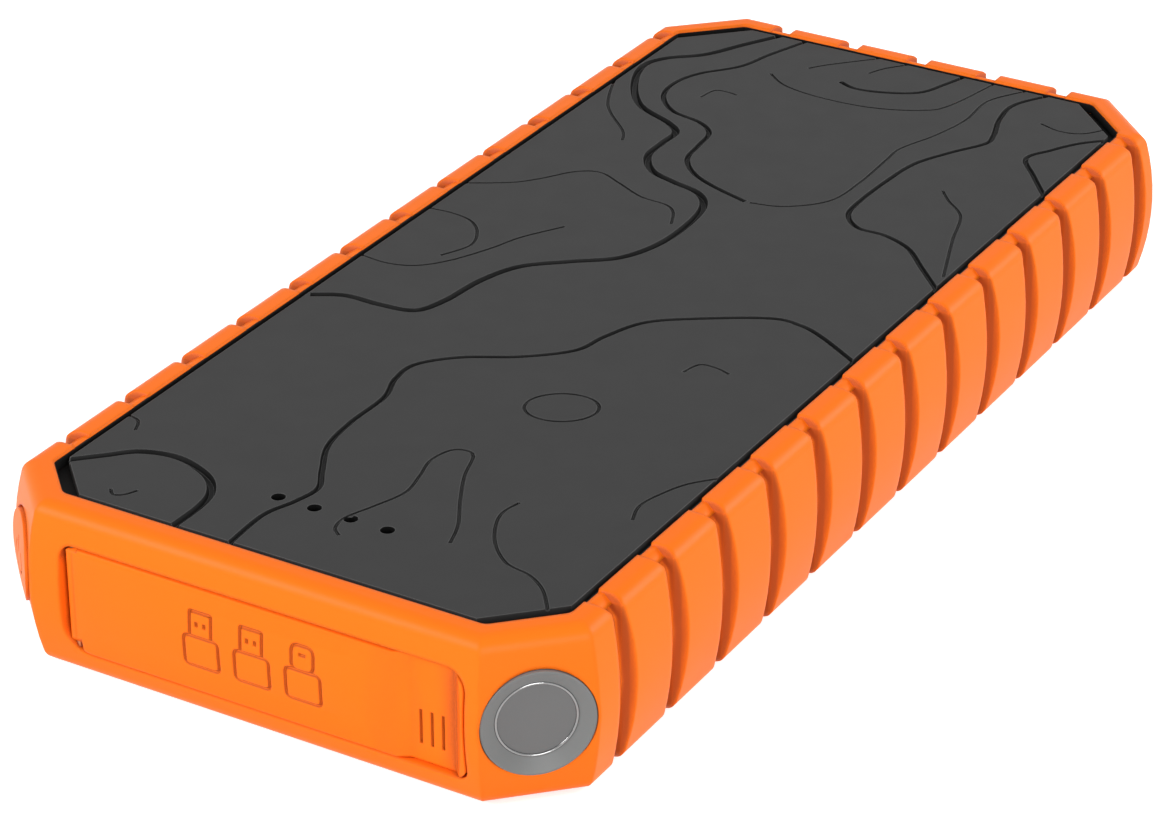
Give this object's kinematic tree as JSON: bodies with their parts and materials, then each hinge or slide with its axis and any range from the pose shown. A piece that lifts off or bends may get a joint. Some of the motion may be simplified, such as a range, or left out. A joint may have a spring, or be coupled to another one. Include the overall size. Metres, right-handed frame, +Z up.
{
  "type": "power bank",
  "caption": "Rugged power bank with a ribbed rubber bumper, dark covers, a hinged port door, a corner torch and a push button.",
  "frame": {"origin": "centre of the footprint, on the surface the power bank lies on", "axes": "+Y along the body from the port door to the far end, +X across to the torch's side, +Z up out of the top cover"},
  "size_m": [0.0812, 0.1752, 0.022],
  "materials": {
    "orange_rubber": "soft matte orange rubber with rounded ribs",
    "orange_door": "soft matte orange rubber over a hard core",
    "orange_button": "matte orange plastic",
    "cover_grey": "matte dark grey plastic with fine grain",
    "housing_black": "matte black plastic",
    "core_black": "matte black plastic",
    "panel_black": "matte black plastic",
    "seal_rubber": "black silicone",
    "pin_steel": "plain steel",
    "socket_steel": "nickel-plated steel sheet",
    "socket_plastic": "black moulded insulator",
    "board_green": "green solder mask",
    "chip_black": "black moulded package",
    "lamp_white": "pale phosphor under clear resin",
    "pipe_clear": "smoked clear plastic",
    "cell_foil": "matte aluminium laminate",
    "foam_grey": "dark grey foam",
    "tab_nickel": "nickel strip",
    "bezel_grey": "satin grey metal",
    "lens_frosted": "frosted clear window",
    "reflector_chrome": "polished reflector",
    "switch_black": "black switch body"
  },
  "bodies": {
    "case": {"bumper": "orange_rubber", "top_cover": "cover_grey", "bottom_cover": "cover_grey", "upper_shell": "housing_black", "lower_shell": "housing_black", "housing_seal": "seal_rubber", "hinge_pin": "pin_steel", "port_panel": "panel_black", "usb_a_shells": "socket_steel", "usb_a_tongues": "socket_plastic", "usb_c_shell": "socket_steel", "usb_c_tongue": "socket_plastic", "main_board": "board_green", "board_chips": "chip_black", "power_coil": "chip_black", "status_leds": "lamp_white", "light_pipes": "pipe_clear", "cell_lower": "cell_foil", "cell_upper": "cell_foil", "cell_pads": "foam_grey", "cell_tabs": "tab_nickel", "protection_board": "board_green", "torch_bezel": "bezel_grey", "torch_lens": "lens_frosted", "torch_reflector": "reflector_chrome", "torch_led": "lamp_white", "torch_board": "board_green", "button_switch": "switch_black", "switch_board": "board_green"},
    "door": {"port_door": "orange_door", "door_core": "core_black", "door_seal": "seal_rubber"},
    "button": {"power_button": "orange_button"}
  },
  "joints": [
    {"name": "door_hinge", "type": "hinge", "parent": "case", "child": "door", "pos_m": [-0.02605, -0.0862, 0.011], "axis": [0, 0, -1], "range_deg": [0, 90]},
    {"name": "button_press", "type": "slide", "parent": "case", "child": "button", "axis": [0.7071, 0.7071, 0], "range_m": [0, 0.0005], "stiffness_N_per_m": 1000, "springref_m": -0.0005}
  ]
}
